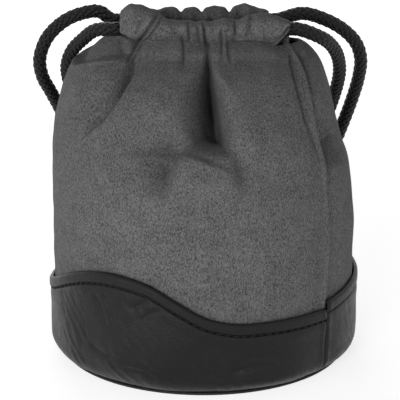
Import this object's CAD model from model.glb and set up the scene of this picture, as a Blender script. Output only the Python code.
"""Drawstring lens pouch: a suede bag on a leather base, drawn closed by two braided cords.

Sizes are in millimetres and turn into metres as each mesh is made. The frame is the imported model's: the origin is
the middle of the sole's underside, +Z is up and -Y is the front. Angles run from the front towards the right.
"""

import logging
import math
from dataclasses import dataclass, field
from enum import Enum
from typing import Sequence

import bpy
import numpy as np
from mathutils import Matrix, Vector


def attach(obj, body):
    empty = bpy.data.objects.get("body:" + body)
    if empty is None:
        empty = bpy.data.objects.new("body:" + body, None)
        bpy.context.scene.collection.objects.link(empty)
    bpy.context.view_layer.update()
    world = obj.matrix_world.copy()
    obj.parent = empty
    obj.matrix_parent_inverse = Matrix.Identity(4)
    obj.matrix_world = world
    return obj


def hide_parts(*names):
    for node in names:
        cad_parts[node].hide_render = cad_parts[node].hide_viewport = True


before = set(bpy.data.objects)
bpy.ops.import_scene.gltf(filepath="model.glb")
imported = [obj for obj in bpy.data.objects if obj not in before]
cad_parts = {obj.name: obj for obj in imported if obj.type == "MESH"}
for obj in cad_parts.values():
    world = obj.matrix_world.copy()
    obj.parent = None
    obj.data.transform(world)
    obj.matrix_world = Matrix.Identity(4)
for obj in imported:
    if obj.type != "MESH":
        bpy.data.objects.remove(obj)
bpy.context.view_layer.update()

LOG = logging.getLogger("lens_pouch")
MM = 0.001
# Angle of the right side seam of the bag and of the bands.
SEAM_ANGLE = 50.0
# Distance of both cord channels from the middle of the mouth.
CHANNEL_OFFSET = 9.8
# Samples in each leg of a smooth line.
LEG_SAMPLES = 24
# Waves in a soft unevenness, and the sum of them that counts as 1.
WAVES = 9
WAVE_PEAK = 4.0

Array = np.ndarray
Faces = list[tuple[int, ...]]
Table = tuple[tuple[float, float], ...]


class Body(Enum):
    """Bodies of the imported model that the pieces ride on."""

    POUCH = "pouch"
    LEFT_CORD = "left_drawcord"
    RIGHT_CORD = "right_drawcord"


class Side(Enum):
    """Front or rear half of the pouch, as the sign of Y."""

    FRONT = -1
    REAR = 1


# Left and right end of each hem, and where the strands of its cord meet inside it.
HEM_ENDS = {Side.FRONT: (-31.0, 32.0), Side.REAR: (-32.0, 25.0)}
CORDS_MEET = {Side.FRONT: 1.0, Side.REAR: -3.0}


def smooth(value: Array, low: float, high: float) -> Array:
    """Numbers eased from 0 at the low limit to 1 at the high one; the limits may run downwards."""
    share = np.clip((np.asarray(value, dtype=float) - low) / (high - low), 0.0, 1.0)
    return share * share * (3.0 - 2.0 * share)


def bell(value: Array, middle: float, width: float, power: int = 2) -> Array:
    """Bell curve that is 1 at its middle; a higher even power is flatter on top and steeper beside it."""
    return np.exp(-(((value - middle) / width) ** power))


def signed_power(value: Array, power: Array) -> Array:
    """A power that keeps the sign of its base."""
    return np.sign(value) * np.abs(value) ** power


def spline(points: Sequence[Sequence[float]], step: float) -> Array:
    """Smooth centripetal line through points, sampled at an even step.

    Args:
        points: Points that the line passes through.
        step: Distance between samples, in the points' unit.

    Returns:
        Samples along the line, one row each.
    """
    knots = np.asarray(points, dtype=float)
    first = 2.0 * knots[0] - knots[1]
    last = 2.0 * knots[-1] - knots[-2]
    knots = np.vstack([first, knots, last])
    dense = []
    for a, b, c, d in zip(knots, knots[1:], knots[2:], knots[3:]):
        t0 = 0.0
        t1 = t0 + np.linalg.norm(b - a) ** 0.5
        t2 = t1 + np.linalg.norm(c - b) ** 0.5
        t3 = t2 + np.linalg.norm(d - c) ** 0.5
        t = np.linspace(t1, t2, LEG_SAMPLES, endpoint=False)[:, None]
        ab = (t1 - t) / (t1 - t0) * a + (t - t0) / (t1 - t0) * b
        bc = (t2 - t) / (t2 - t1) * b + (t - t1) / (t2 - t1) * c
        cd = (t3 - t) / (t3 - t2) * c + (t - t2) / (t3 - t2) * d
        abc = (t2 - t) / (t2 - t0) * ab + (t - t0) / (t2 - t0) * bc
        bcd = (t3 - t) / (t3 - t1) * bc + (t - t1) / (t3 - t1) * cd
        dense.append((t2 - t) / (t2 - t1) * abc + (t - t1) / (t2 - t1) * bcd)
    line = np.vstack(dense + [knots[-2:-1]])
    reach = travelled(line)
    count = max(2, int(round(reach[-1] / step)) + 1)
    even = np.linspace(0.0, reach[-1], count)
    return np.stack([np.interp(even, reach, line[:, axis]) for axis in range(line.shape[1])], axis=1)


def line_length(points: Array) -> float:
    """Length of a line of points."""
    return float(np.linalg.norm(np.diff(points, axis=0), axis=1).sum())


def travelled(points: Array) -> Array:
    """Distance from the start of a line to each of its points."""
    return np.concatenate([[0.0], np.cumsum(np.linalg.norm(np.diff(points, axis=0), axis=1))])


def read_table(table: Table, place: Array, step: float) -> Array:
    """Values at places of the smooth line through a table's points (place, value), sampled at a step."""
    line = spline(table, step)
    return np.interp(place, line[:, 0], line[:, 1])


def table_rows(rows: Sequence[tuple], shape: tuple[int, ...]) -> tuple[Array, ...]:
    """Rows of several values, each a number or an array of the shape, as one array for each value."""
    return tuple(np.array([np.broadcast_to(value, shape) for value in values]) for values in zip(*rows))


def grid_faces(rows: int, columns: int, ring: bool = False, flip: bool = False) -> Faces:
    """Quads over a grid of points laid out row by row.

    Args:
        rows: Rows of points.
        columns: Points in each row.
        ring: Whether each row closes on itself.
        flip: Whether the faces turn the other way.

    Returns:
        Four point indices for each quad.
    """
    across = columns if ring else columns - 1
    row, column = np.meshgrid(np.arange(rows - 1), np.arange(across), indexing="ij")
    beside = (column + 1) % columns
    quad = np.stack(
        [row * columns + column, row * columns + beside, (row + 1) * columns + beside, (row + 1) * columns + column],
        axis=-1,
    ).reshape(-1, 4)
    if flip:
        quad = quad[:, ::-1]
    return [tuple(face) for face in quad.tolist()]


def tube_faces(rings: int, sides: int, flip: bool = False) -> Faces:
    """Faces of a tube that is closed at both ends.

    Args:
        rings: Rings of points along the tube.
        sides: Points in each ring.
        flip: Whether the faces turn the other way.

    Returns:
        Point indices of each face, the two ends last.
    """
    first = range(sides)
    last = range((rings - 1) * sides, rings * sides)
    ends = (first, last[::-1]) if flip else (first[::-1], last)
    return grid_faces(rings, sides, ring=True, flip=flip) + [tuple(end) for end in ends]


class Parts:
    """Several meshes that are joined into one."""

    def __init__(self) -> None:
        """Starts without a mesh."""
        self.points: list[Array] = []
        self.faces: Faces = []
        self.total = 0

    def add(self, points: Array, faces: Faces) -> None:
        """Adds a mesh.

        Args:
            points: Points of the mesh.
            faces: Point indices of its faces, counted from its own first point.
        """
        flat = points.reshape(-1, 3)
        self.points.append(flat)
        self.faces += [tuple(index + self.total for index in face) for face in faces]
        self.total += len(flat)

    def joined(self) -> tuple[Array, Faces]:
        """All points and all faces."""
        return np.vstack(self.points), self.faces


def grid_normals(points: Array) -> Array:
    """Unit normals of a grid of points, out of the side where columns run anticlockwise seen from above."""
    across = np.gradient(points, axis=1)
    up = np.gradient(points, axis=0)
    normal = np.cross(across, up)
    return normal / np.maximum(np.linalg.norm(normal, axis=-1, keepdims=True), 1e-9)


def soft_noise(points: Array, size: float, seed: int) -> Array:
    """Slow smooth unevenness of cloth and hide, as a sum of seeded waves.

    Args:
        points: Places to read, in millimetres, with the three coordinates last.
        size: Length of a typical swell.
        seed: Seed of the waves.

    Returns:
        Numbers of about -1 to 1, one for each place.
    """
    pick = np.random.default_rng(seed)
    total = np.zeros(points.shape[:-1])
    for _ in range(WAVES):
        heading = pick.normal(size=3)
        heading *= 2.0 * math.pi / size / np.linalg.norm(heading) * pick.uniform(0.6, 1.5)
        total += np.sin(points @ heading + pick.uniform(0.0, 2.0 * math.pi))
    return total / WAVE_PEAK


@dataclass(frozen=True)
class Fold:
    """One fold line in cloth or hide, drawn on a flat elevation of it.

    Attributes:
        line: Points across and up, in millimetres.
        depth: How far the cloth sinks on the line; a negative depth is a ridge.
        left: Reach on the left of the line, looking along it.
        right: Reach on the right of the line.
        left_lip: Height of the swell beside the line on its left.
        right_lip: Height of the swell on its right.
        spread: Shares of the reach at the line's start and end.
        fade: Shares of the line over which it starts and ends.
        bite: Power of the slope; higher is flatter at the bottom and steeper beside it.
    """

    line: Table
    depth: float
    left: float
    right: float
    left_lip: float = 0.0
    right_lip: float = 0.0
    spread: tuple[float, float] = (1.0, 1.0)
    fade: tuple[float, float] = (0.2, 0.3)
    bite: float = 1.4

    # Most legs of the sampled line, reach of the fold in widths, and half width of its soft bottom.
    LEGS = 40.0
    FARTHEST = 3.2
    SOFT_BOTTOM = 0.4

    @staticmethod
    def nearest(place: Array, path: Array) -> tuple[Array, Array, Array]:
        """Nearest point of a path to each place.

        Args:
            place: Places on the elevation.
            path: Points of the path.

        Returns:
            Distance from the path, its side as a number that is positive on the left, and share of the path.
        """
        best = np.full(len(place), 1e9)
        turn = np.zeros(len(place))
        share = np.zeros(len(place))
        count = len(path) - 1
        for index in range(count):
            leg = path[index + 1] - path[index]
            part = np.clip((place - path[index]) @ leg / float(leg @ leg), 0.0, 1.0)
            away = place - path[index] - part[:, None] * leg
            distance = np.linalg.norm(away, axis=1)
            closer = distance < best
            best = np.where(closer, distance, best)
            turn = np.where(closer, leg[0] * away[:, 1] - leg[1] * away[:, 0], turn)
            share = np.where(closer, (index + part) / count, share)
        return best, turn, share

    def offset(self, across: Array, up: Array) -> Array:
        """Height of the fold at places of the elevation.

        Args:
            across: Distance across at each place.
            up: Height at each place.

        Returns:
            Offset along the cloth's normal, in millimetres.
        """
        path = spline(self.line, max(1.0, line_length(np.asarray(self.line)) / self.LEGS))
        result = np.zeros(across.shape)
        reach = self.FARTHEST * max(self.left, self.right) * max(self.spread)
        low = path.min(axis=0) - reach
        high = path.max(axis=0) + reach
        near = (across > low[0]) & (across < high[0]) & (up > low[1]) & (up < high[1])
        if not near.any():
            return result
        place = np.stack([across[near], up[near]], axis=-1)
        best, turn, share = self.nearest(place, path)
        width = self.spread[0] + (self.spread[1] - self.spread[0]) * share
        on_left = smooth(np.sign(turn) * best, -self.SOFT_BOTTOM, self.SOFT_BOTTOM)
        left = best / (self.left * width)
        right = best / (self.right * width)
        height = -self.depth * (on_left * np.exp(-(left**self.bite)) + (1 - on_left) * np.exp(-(right**self.bite)))
        height += self.left_lip * on_left * left**2 * np.exp(1 - left**2)
        height += self.right_lip * (1 - on_left) * right**2 * np.exp(1 - right**2)
        fade = np.ones(len(place))
        if self.fade[0] > 0:
            fade *= smooth(share, 0.0, self.fade[0])
        if self.fade[1] > 0:
            fade *= smooth(share, 1.0, 1.0 - self.fade[1])
        result[near] = height * fade
        return result


def all_folds(folds: Sequence[Fold], across: Array, up: Array) -> Array:
    """Sum of several folds at places of their elevation."""
    return sum((fold.offset(across, up) for fold in folds), np.zeros(across.shape))


class Nodes:
    """Short hand for placing and joining the nodes of one tree."""

    def __init__(self, tree: bpy.types.NodeTree) -> None:
        """Keeps the tree that the nodes go into."""
        self.tree = tree

    def add(self, kind: str, **values: object) -> bpy.types.Node:
        """Places a node and sets its own values.

        Args:
            kind: Blender's name of the node type.
            **values: Attributes of the node.

        Returns:
            The new node.
        """
        node = self.tree.nodes.new(kind)
        for key, value in values.items():
            setattr(node, key, value)
        return node

    def join(self, source: bpy.types.NodeSocket, target: bpy.types.NodeSocket) -> None:
        """Links an output to an input."""
        self.tree.links.new(source, target)

    def put(self, value: object, target: bpy.types.NodeSocket) -> None:
        """Links an output to an input, or sets the input to a plain value."""
        if isinstance(value, bpy.types.NodeSocket):
            self.join(value, target)
        else:
            target.default_value = value

    def feed(self, node: bpy.types.Node, **inputs: object) -> bpy.types.Node:
        """Sets or links inputs of a node by their names, with underscores for spaces.

        Args:
            node: The node to feed.
            **inputs: A socket to link, or a value to set.

        Returns:
            The same node.
        """
        for key, value in inputs.items():
            self.put(value, node.inputs[key.replace("_", " ")])
        return node

    def math(self, operation: str, a: object, b: object = 0.0) -> bpy.types.NodeSocket:
        """One sum of two numbers or sockets.

        Args:
            operation: Blender's name of the sum.
            a: First number or socket.
            b: Second number or socket.

        Returns:
            The socket that holds the result.
        """
        node = self.add("ShaderNodeMath", operation=operation)
        for socket, value in zip(node.inputs, (a, b)):
            self.put(value, socket)
        return node.outputs[0]

    def blend(self, share: object, a: object, b: object) -> bpy.types.NodeSocket:
        """Mix of two colours.

        Args:
            share: Share of the second colour.
            a: First colour or socket.
            b: Second colour or socket.

        Returns:
            The mixed colour's socket.
        """
        node = self.add("ShaderNodeMix", data_type="RGBA")
        for index, value in ((0, share), (6, a), (7, b)):
            self.put(value, node.inputs[index])
        return node.outputs[2]

    def span(
        self, value: object, low: float, high: float, start: float = 0.0, end: float = 1.0, kind: str = "LINEAR"
    ) -> bpy.types.NodeSocket:
        """Number read between two limits.

        Args:
            value: Number or socket to read.
            low: Lower limit.
            high: Upper limit.
            start: Result at the lower limit.
            end: Result at the upper limit.
            kind: Blender's name of the curve between them.

        Returns:
            The socket that holds the result.
        """
        node = self.add("ShaderNodeMapRange", interpolation_type=kind)
        for socket, number in zip(node.inputs, (value, low, high, start, end)):
            self.put(number, socket)
        return node.outputs[0]

    def noise(self, place: bpy.types.NodeSocket, scale: object, detail: float, rough: float = 0.5) -> bpy.types.Node:
        """Noise texture node with a number of swells in a metre, some octaves and each finer octave's share."""
        texture = self.add("ShaderNodeTexNoise")
        return self.feed(texture, Vector=place, Scale=scale, Detail=detail, Roughness=rough)


def grey(level: float) -> tuple[float, float, float, float]:
    """A neutral grey as a colour."""
    return (level, level, level, 1.0)


class SharedEffects:
    """Shader node groups that several finishes use."""

    @staticmethod
    def group(name: str, inputs: dict[str, float], outputs: Sequence[str]) -> bpy.types.ShaderNodeTree:
        """New group with its sockets, all of them numbers.

        Args:
            name: Name of the group.
            inputs: Value of each input, by its label.
            outputs: Labels of the outputs.

        Returns:
            The group, without nodes.
        """
        tree = bpy.data.node_groups.new(name, "ShaderNodeTree")
        for label, value in inputs.items():
            socket = tree.interface.new_socket(label, in_out="INPUT", socket_type="NodeSocketFloat")
            socket.default_value = value
        for label in outputs:
            tree.interface.new_socket(label, in_out="OUTPUT", socket_type="NodeSocketFloat")
        return tree

    @staticmethod
    def nap() -> bpy.types.ShaderNodeTree:
        """Nap of brushed cloth: fine fibres over slow brushed patches.

        Returns:
            A group with inputs Fibre and Patch, the numbers of fibres and patches in a metre, and outputs Fibres,
            Patches and Height.
        """
        name = "brushed nap"
        if name in bpy.data.node_groups:
            return bpy.data.node_groups[name]
        tree = SharedEffects.group(name, {"Fibre": 1100.0, "Patch": 90.0}, ("Fibres", "Patches", "Height"))
        nodes = Nodes(tree)
        inlet = nodes.add("NodeGroupInput")
        outlet = nodes.add("NodeGroupOutput")
        place = nodes.add("ShaderNodeTexCoord").outputs["Object"]
        long = nodes.add("ShaderNodeVectorMath", operation="MULTIPLY")
        nodes.join(place, long.inputs[0])
        long.inputs[1].default_value = (1.0, 1.0, 0.6)
        fine = nodes.noise(long.outputs[0], inlet.outputs["Fibre"], 3.0, 0.7)
        slow = nodes.noise(place, inlet.outputs["Patch"], 4.0, 0.6)
        height = nodes.math("ADD", fine.outputs[0], nodes.math("MULTIPLY", slow.outputs[0], 0.6))
        nodes.join(fine.outputs[0], outlet.inputs["Fibres"])
        nodes.join(slow.outputs[0], outlet.inputs["Patches"])
        nodes.join(height, outlet.inputs["Height"])
        return tree

    @staticmethod
    def grain() -> bpy.types.ShaderNodeTree:
        """Grain of finished hide: small rounded cells with finer wrinkles among them.

        Returns:
            A group with the input Cells, the number of cells in a metre, and outputs Creases and Height.
        """
        name = "hide grain"
        if name in bpy.data.node_groups:
            return bpy.data.node_groups[name]
        tree = SharedEffects.group(name, {"Cells": 900.0}, ("Creases", "Height"))
        nodes = Nodes(tree)
        inlet = nodes.add("NodeGroupInput")
        outlet = nodes.add("NodeGroupOutput")
        place = nodes.add("ShaderNodeTexCoord").outputs["Object"]
        bend = nodes.noise(place, 260.0, 2.0)
        warp = nodes.add("ShaderNodeVectorMath", operation="SCALE")
        nodes.join(bend.outputs[1], warp.inputs[0])
        warp.inputs["Scale"].default_value = 0.0016
        moved = nodes.add("ShaderNodeVectorMath", operation="ADD")
        nodes.join(place, moved.inputs[0])
        nodes.join(warp.outputs[0], moved.inputs[1])
        cells = nodes.add("ShaderNodeTexVoronoi", feature="DISTANCE_TO_EDGE")
        nodes.feed(cells, Vector=moved.outputs[0], Scale=inlet.outputs["Cells"])
        edge = nodes.span(cells.outputs["Distance"], 0.0, 0.28, kind="SMOOTHSTEP")
        fine = nodes.noise(place, 2400.0, 2.0)
        height = nodes.math("ADD", edge, nodes.math("MULTIPLY", fine.outputs[0], 0.35))
        nodes.join(edge, outlet.inputs["Creases"])
        nodes.join(height, outlet.inputs["Height"])
        return tree


class Finish:
    """A finish that makes its material once."""

    name: str

    def material(self) -> bpy.types.Material:
        """The finish as a Blender material.

        Returns:
            The material, made on the first call.
        """
        if self.name in bpy.data.materials:
            return bpy.data.materials[self.name]
        material = bpy.data.materials.new(self.name)
        material.use_nodes = True
        nodes = Nodes(material.node_tree)
        shader = material.node_tree.nodes["Principled BSDF"]
        self.dress(nodes, shader)
        return material

    def dress(self, nodes: Nodes, shader: bpy.types.Node) -> None:
        """Builds the nodes that feed the shader."""
        raise NotImplementedError

    @staticmethod
    def bump(
        nodes: Nodes, shader: bpy.types.Node, height: bpy.types.NodeSocket, strength: float, distance: float
    ) -> None:
        """Feeds a height into the shader's normal, as a relief of some strength and of a depth in metres."""
        relief = nodes.feed(nodes.add("ShaderNodeBump"), Height=height, Strength=strength, Distance=distance)
        nodes.join(relief.outputs[0], shader.inputs["Normal"])


@dataclass(frozen=True)
class NapFinish(Finish):
    """Brushed suede or knitted lining.

    Attributes:
        name: Name of the material.
        dark: Grey of the hollows between fibres.
        pale: Grey of the raised fibres.
        fibre: Fibres in a metre.
        patch: Brushed patches in a metre.
        relief: Depth of the nap, in metres.
        sheen: Weight of the soft sheen.
    """

    name: str
    dark: float
    pale: float
    fibre: float
    patch: float
    relief: float
    sheen: float

    # Shares of the fibres and of the brushed patches in the tone.
    FIBRE_SHARE = 0.72
    PATCH_SHARE = 0.36

    def dress(self, nodes: Nodes, shader: bpy.types.Node) -> None:
        """Mixes the fibre greys and raises the nap."""
        nap = nodes.add("ShaderNodeGroup", node_tree=SharedEffects.nap())
        nodes.feed(nap, Fibre=self.fibre, Patch=self.patch)
        fibres = nodes.math("MULTIPLY", nodes.span(nap.outputs["Fibres"], 0.34, 0.66), self.FIBRE_SHARE)
        patches = nodes.math("MULTIPLY", nap.outputs["Patches"], self.PATCH_SHARE)
        tone = nodes.math("ADD", fibres, patches)
        colour = nodes.blend(tone, grey(self.dark), grey(self.pale))
        nodes.join(colour, shader.inputs["Base Color"])
        shader.inputs["Roughness"].default_value = 0.95
        shader.inputs["Specular IOR Level"].default_value = 0.1
        shader.inputs["Sheen Weight"].default_value = self.sheen
        shader.inputs["Sheen Roughness"].default_value = 0.6
        shader.inputs["Sheen Tint"].default_value = grey(0.8)
        self.bump(nodes, shader, nap.outputs["Height"], 0.8, self.relief)


@dataclass(frozen=True)
class HideFinish(Finish):
    """Smooth grained leather.

    Attributes:
        name: Name of the material.
        dark: Grey in the grain's creases.
        pale: Grey of the grain's tops.
        gloss: Roughness of the tops.
        cells: Grain cells in a metre.
        relief: Depth of the grain, in metres.
    """

    name: str
    dark: float
    pale: float
    gloss: float
    cells: float
    relief: float

    def dress(self, nodes: Nodes, shader: bpy.types.Node) -> None:
        """Darkens and dulls the creases and raises the grain."""
        grain = nodes.add("ShaderNodeGroup", node_tree=SharedEffects.grain())
        nodes.feed(grain, Cells=self.cells)
        nap = nodes.add("ShaderNodeGroup", node_tree=SharedEffects.nap())
        nodes.feed(nap, Fibre=420.0, Patch=55.0)
        tone = nodes.math("MULTIPLY", nodes.math("ADD", grain.outputs["Creases"], nap.outputs["Patches"]), 0.55)
        nodes.join(nodes.blend(tone, grey(self.dark), grey(self.pale)), shader.inputs["Base Color"])
        rough = nodes.span(nap.outputs["Fibres"], 0.3, 0.7, self.gloss + 0.12, self.gloss - 0.05)
        nodes.join(rough, shader.inputs["Roughness"])
        shader.inputs["Specular IOR Level"].default_value = 0.21
        self.bump(nodes, shader, grain.outputs["Height"], 0.3, self.relief)


@dataclass(frozen=True)
class YarnFinish(Finish):
    """Filament yarn of the cords and of the sewing thread.

    Attributes:
        name: Name of the material.
        dark: Grey between filaments.
        pale: Grey of the filaments.
        rough: Roughness.
        fibre: Filaments in a metre.
    """

    name: str
    dark: float
    pale: float
    rough: float
    fibre: float

    def dress(self, nodes: Nodes, shader: bpy.types.Node) -> None:
        """Streaks the yarn with its filaments."""
        nap = nodes.add("ShaderNodeGroup", node_tree=SharedEffects.nap())
        nodes.feed(nap, Fibre=self.fibre, Patch=300.0)
        nodes.join(nodes.blend(nap.outputs["Fibres"], grey(self.dark), grey(self.pale)), shader.inputs["Base Color"])
        shader.inputs["Roughness"].default_value = self.rough
        shader.inputs["Specular IOR Level"].default_value = 0.17
        shader.inputs["Sheen Weight"].default_value = 0.05
        self.bump(nodes, shader, nap.outputs["Height"], 0.5, 0.00012)


SUEDE = NapFinish("brushed suede", 0.008, 0.25, 2100.0, 130.0, 0.0003, 0.05)
LINING = NapFinish("lining knit", 0.022, 0.06, 900.0, 60.0, 0.00018, 0.1)
FOAM = NapFinish("foam pad", 0.06, 0.13, 1500.0, 200.0, 0.0002, 0.0)
BOARD = NapFinish("stiff board", 0.02, 0.045, 700.0, 40.0, 0.00006, 0.0)
LEATHER = HideFinish("grained leather", 0.003, 0.008, 0.41, 1000.0, 0.0002)
SOLE = HideFinish("sole leather", 0.012, 0.026, 0.55, 620.0, 0.0003)
BRAID = YarnFinish("braid yarn", 0.002, 0.008, 0.42, 2600.0)
THREAD = YarnFinish("sewing thread", 0.003, 0.009, 0.6, 3000.0)


def new_piece(name: str, points: Array, faces: Faces, body: Body, finish: Finish, slot: str) -> bpy.types.Object:
    """Makes a smooth mesh piece that rides on a body.

    Args:
        name: Name of the piece.
        points: Points in millimetres, with the three coordinates last.
        faces: Point indices of each face.
        body: Body that the piece rides on.
        finish: Finish of the piece.
        slot: Material slot of the record.

    Returns:
        The new object.
    """
    mesh = bpy.data.meshes.new(name)
    mesh.from_pydata((points.reshape(-1, 3) * MM).tolist(), [], faces)
    mesh.polygons.foreach_set("use_smooth", [True] * len(mesh.polygons))
    mesh.update()
    piece = bpy.data.objects.new(name, mesh)
    bpy.context.scene.collection.objects.link(piece)
    mesh.materials.append(finish.material())
    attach(piece, body.value)
    LOG.info("%s: %d points", name, len(mesh.vertices))
    return piece


def thicken(piece: bpy.types.Object, thickness: float) -> None:
    """Gives a one-sided sheet its thickness, inwards from its face.

    Args:
        piece: The sheet.
        thickness: Thickness in millimetres.
    """
    wall = piece.modifiers.new("thickness", "SOLIDIFY")
    wall.thickness = thickness * MM
    wall.offset = -1.0
    wall.use_even_offset = False


@dataclass
class Drawcord:
    """Round braided cord made of interlaced yarns, and the knots that join its strands.

    Attributes:
        diameter: Outer diameter.
        carriers: Yarns that run each way round.
        lay: Length of one turn of a yarn.
        weave: How far a yarn rises and sinks as it passes over and under.
        yarn_width: Width of a yarn.
        yarn_depth: Thickness of a yarn.
        step: Distance between rings of points.
        sides: Points round a yarn and round the core.
        core_step: Rings of the yarns for each ring of the core.
        core_share: Radius of the core over that of the yarns' middle.
        wrap_turns: Turns of the cord round a knot.
        wrap_reach: Radius of these turns.
        wrap_sway: How far that radius varies.
        wrap_flat: Depth of the turns over their width.
        wrap_height: Height that they cover.
        wrap_diameter: Diameter of the cord as it is drawn tight in them.
        tail_diameter: Diameter of the cord in a knot's legs and tails.
    """

    diameter: float = 5.5
    carriers: int = 6
    lay: float = 19.0
    weave: float = 0.36
    yarn_width: float = 1.9
    yarn_depth: float = 1.0
    step: float = 0.5
    sides: int = 8
    core_step: int = 4
    core_share: float = 0.72
    wrap_turns: float = 2.2
    wrap_reach: float = 4.6
    wrap_sway: float = 0.25
    wrap_flat: float = 0.85
    wrap_height: float = 9.8
    wrap_diameter: float = 4.9
    tail_diameter: float = 5.0

    # Points of a leg from the knot's middle down to its tail, and rings (place, share of the diameter) of its tip.
    LEG = ((2.0, 0.0, 2.5), (2.0, 0.0, -2.8), (3.2, 0.8, -7.0), (4.3, 1.0, -12.6))
    TIP = ((-1.4, 0.5), (-0.5, 0.53), (0.25, 0.47), (0.6, 0.32), (0.72, 0.12))
    TIP_SIDES = 16

    def frames(self, path: Array) -> tuple[Array, Array, Array]:
        """Directions along and across a path that don't twist.

        Args:
            path: Points of the centre line.

        Returns:
            Tangents, and two directions across at each point.
        """
        tangent = np.gradient(path, axis=0)
        tangent /= np.linalg.norm(tangent, axis=1, keepdims=True)
        across = np.zeros_like(path)
        seed = np.array([0.0, 0.0, 1.0]) if abs(tangent[0][2]) < 0.9 else np.array([1.0, 0.0, 0.0])
        across[0] = np.cross(tangent[0], seed)
        across[0] /= np.linalg.norm(across[0])
        for index in range(1, len(path)):
            carried = across[index - 1] - tangent[index] * (across[index - 1] @ tangent[index])
            across[index] = carried / np.linalg.norm(carried)
        return tangent, across, np.cross(tangent, across)

    def weave_mesh(self, path: Array, diameter: float) -> tuple[Array, Faces]:
        """Interlaced yarns round a path, with a plain core inside.

        Args:
            path: Points of the centre line, at an even step.
            diameter: Outer diameter at this stretch.

        Returns:
            Points and faces.
        """
        share = diameter / self.diameter
        tangent, across, beside = self.frames(path)
        run = travelled(path)
        middle = (self.diameter / 2 - self.weave - self.yarn_depth / 2) * share
        parts = Parts()
        around = np.arange(self.sides) * 2.0 * math.pi / self.sides
        for heading in (1, -1):
            for carrier in range(self.carriers):
                angle = heading * 2.0 * math.pi * run / self.lay + 2.0 * math.pi * carrier / self.carriers
                out = np.cos(angle)[:, None] * across + np.sin(angle)[:, None] * beside
                radius = middle + heading * self.weave * share * np.cos(self.carriers * angle)
                centre = path + radius[:, None] * out
                along = np.gradient(centre, axis=0)
                along /= np.linalg.norm(along, axis=1, keepdims=True)
                wide = np.cross(along, out)
                wide /= np.linalg.norm(wide, axis=1, keepdims=True)
                rise = np.cross(wide, along)
                ring = centre[:, None, :]
                ring = ring + wide[:, None, :] * (np.cos(around) * self.yarn_width / 2 * share)[None, :, None]
                ring = ring + rise[:, None, :] * (np.sin(around) * self.yarn_depth / 2 * share)[None, :, None]
                parts.add(ring, grid_faces(len(path), self.sides, ring=True))
        thin, across, beside = (line[::self.core_step, None, :] for line in (path, across, beside))
        round_core = np.cos(around)[None, :, None] * across + np.sin(around)[None, :, None] * beside
        parts.add(thin + self.core_share * middle * round_core, tube_faces(len(thin), self.sides))
        return parts.joined()

    def strand(self, name: str, points: Sequence[Sequence[float]], body: Body) -> tuple[bpy.types.Object, Array]:
        """One strand along its route.

        Args:
            name: Name of the piece and of the CAD node that it stands for.
            points: Points of the route.
            body: Body that the strand rides on.

        Returns:
            The strand, and the centre line that it follows.
        """
        path = spline(points, self.step)
        piece = new_piece(f"{name}_braid", *self.weave_mesh(path, self.diameter), body, BRAID, "cord")
        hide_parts(name)
        return piece, path

    def knot(self, name: str, place: Sequence[float], tops: Sequence[Sequence[float]], body: Body) -> bpy.types.Object:
        """Wrapped knot that joins two strands, with two sealed tails.

        Args:
            name: Name of the CAD node that the knot stands for.
            place: Middle of the knot.
            tops: Ends of the two strands.
            body: Body that the knot rides on.

        Returns:
            The knot.
        """
        centre = np.asarray(place, dtype=float)
        turn = np.linspace(0.0, self.wrap_turns * 2.0 * math.pi, 60)
        reach = self.wrap_reach + self.wrap_sway * np.sin(turn * 0.5)
        drop = self.wrap_height / 2 - self.wrap_height * turn / turn[-1]
        wrap = np.stack([reach * np.cos(turn), self.wrap_flat * reach * np.sin(turn), drop], axis=1)
        lines = [(spline(centre + wrap, self.step), self.wrap_diameter)]
        for lean, top in zip((-1, 1), sorted(tops, key=lambda point: point[0])):
            leg = [centre + np.array([lean * x, y, z]) for x, y, z in self.LEG]
            lines.append((spline([np.asarray(top, dtype=float)] + leg, self.step), self.tail_diameter))
        parts = Parts()
        for path, diameter in lines:
            parts.add(*self.weave_mesh(path, diameter))
        for path, diameter in lines[1:]:
            parts.add(*self.sealed_end(path, diameter))
        piece = new_piece(f"{name}_braid", *parts.joined(), body, BRAID, "cord")
        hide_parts(name)
        return piece

    def sealed_end(self, path: Array, diameter: float) -> tuple[Array, Faces]:
        """Rounded melted tip over the last of a tail.

        Args:
            path: Centre line of the tail.
            diameter: Diameter of the tail.

        Returns:
            Points and faces.
        """
        tangent, across, beside = self.frames(path)
        around = np.arange(self.TIP_SIDES) * 2.0 * math.pi / self.TIP_SIDES
        flat = np.cos(around)[:, None] * across[-1] + np.sin(around)[:, None] * beside[-1]
        rings = [path[-1] + tangent[-1] * along + flat * diameter * share for along, share in self.TIP]
        faces = grid_faces(len(rings), self.TIP_SIDES, ring=True)
        faces.append(tuple(range((len(rings) - 1) * self.TIP_SIDES, len(rings) * self.TIP_SIDES)))
        return np.vstack(rings), faces


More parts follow.
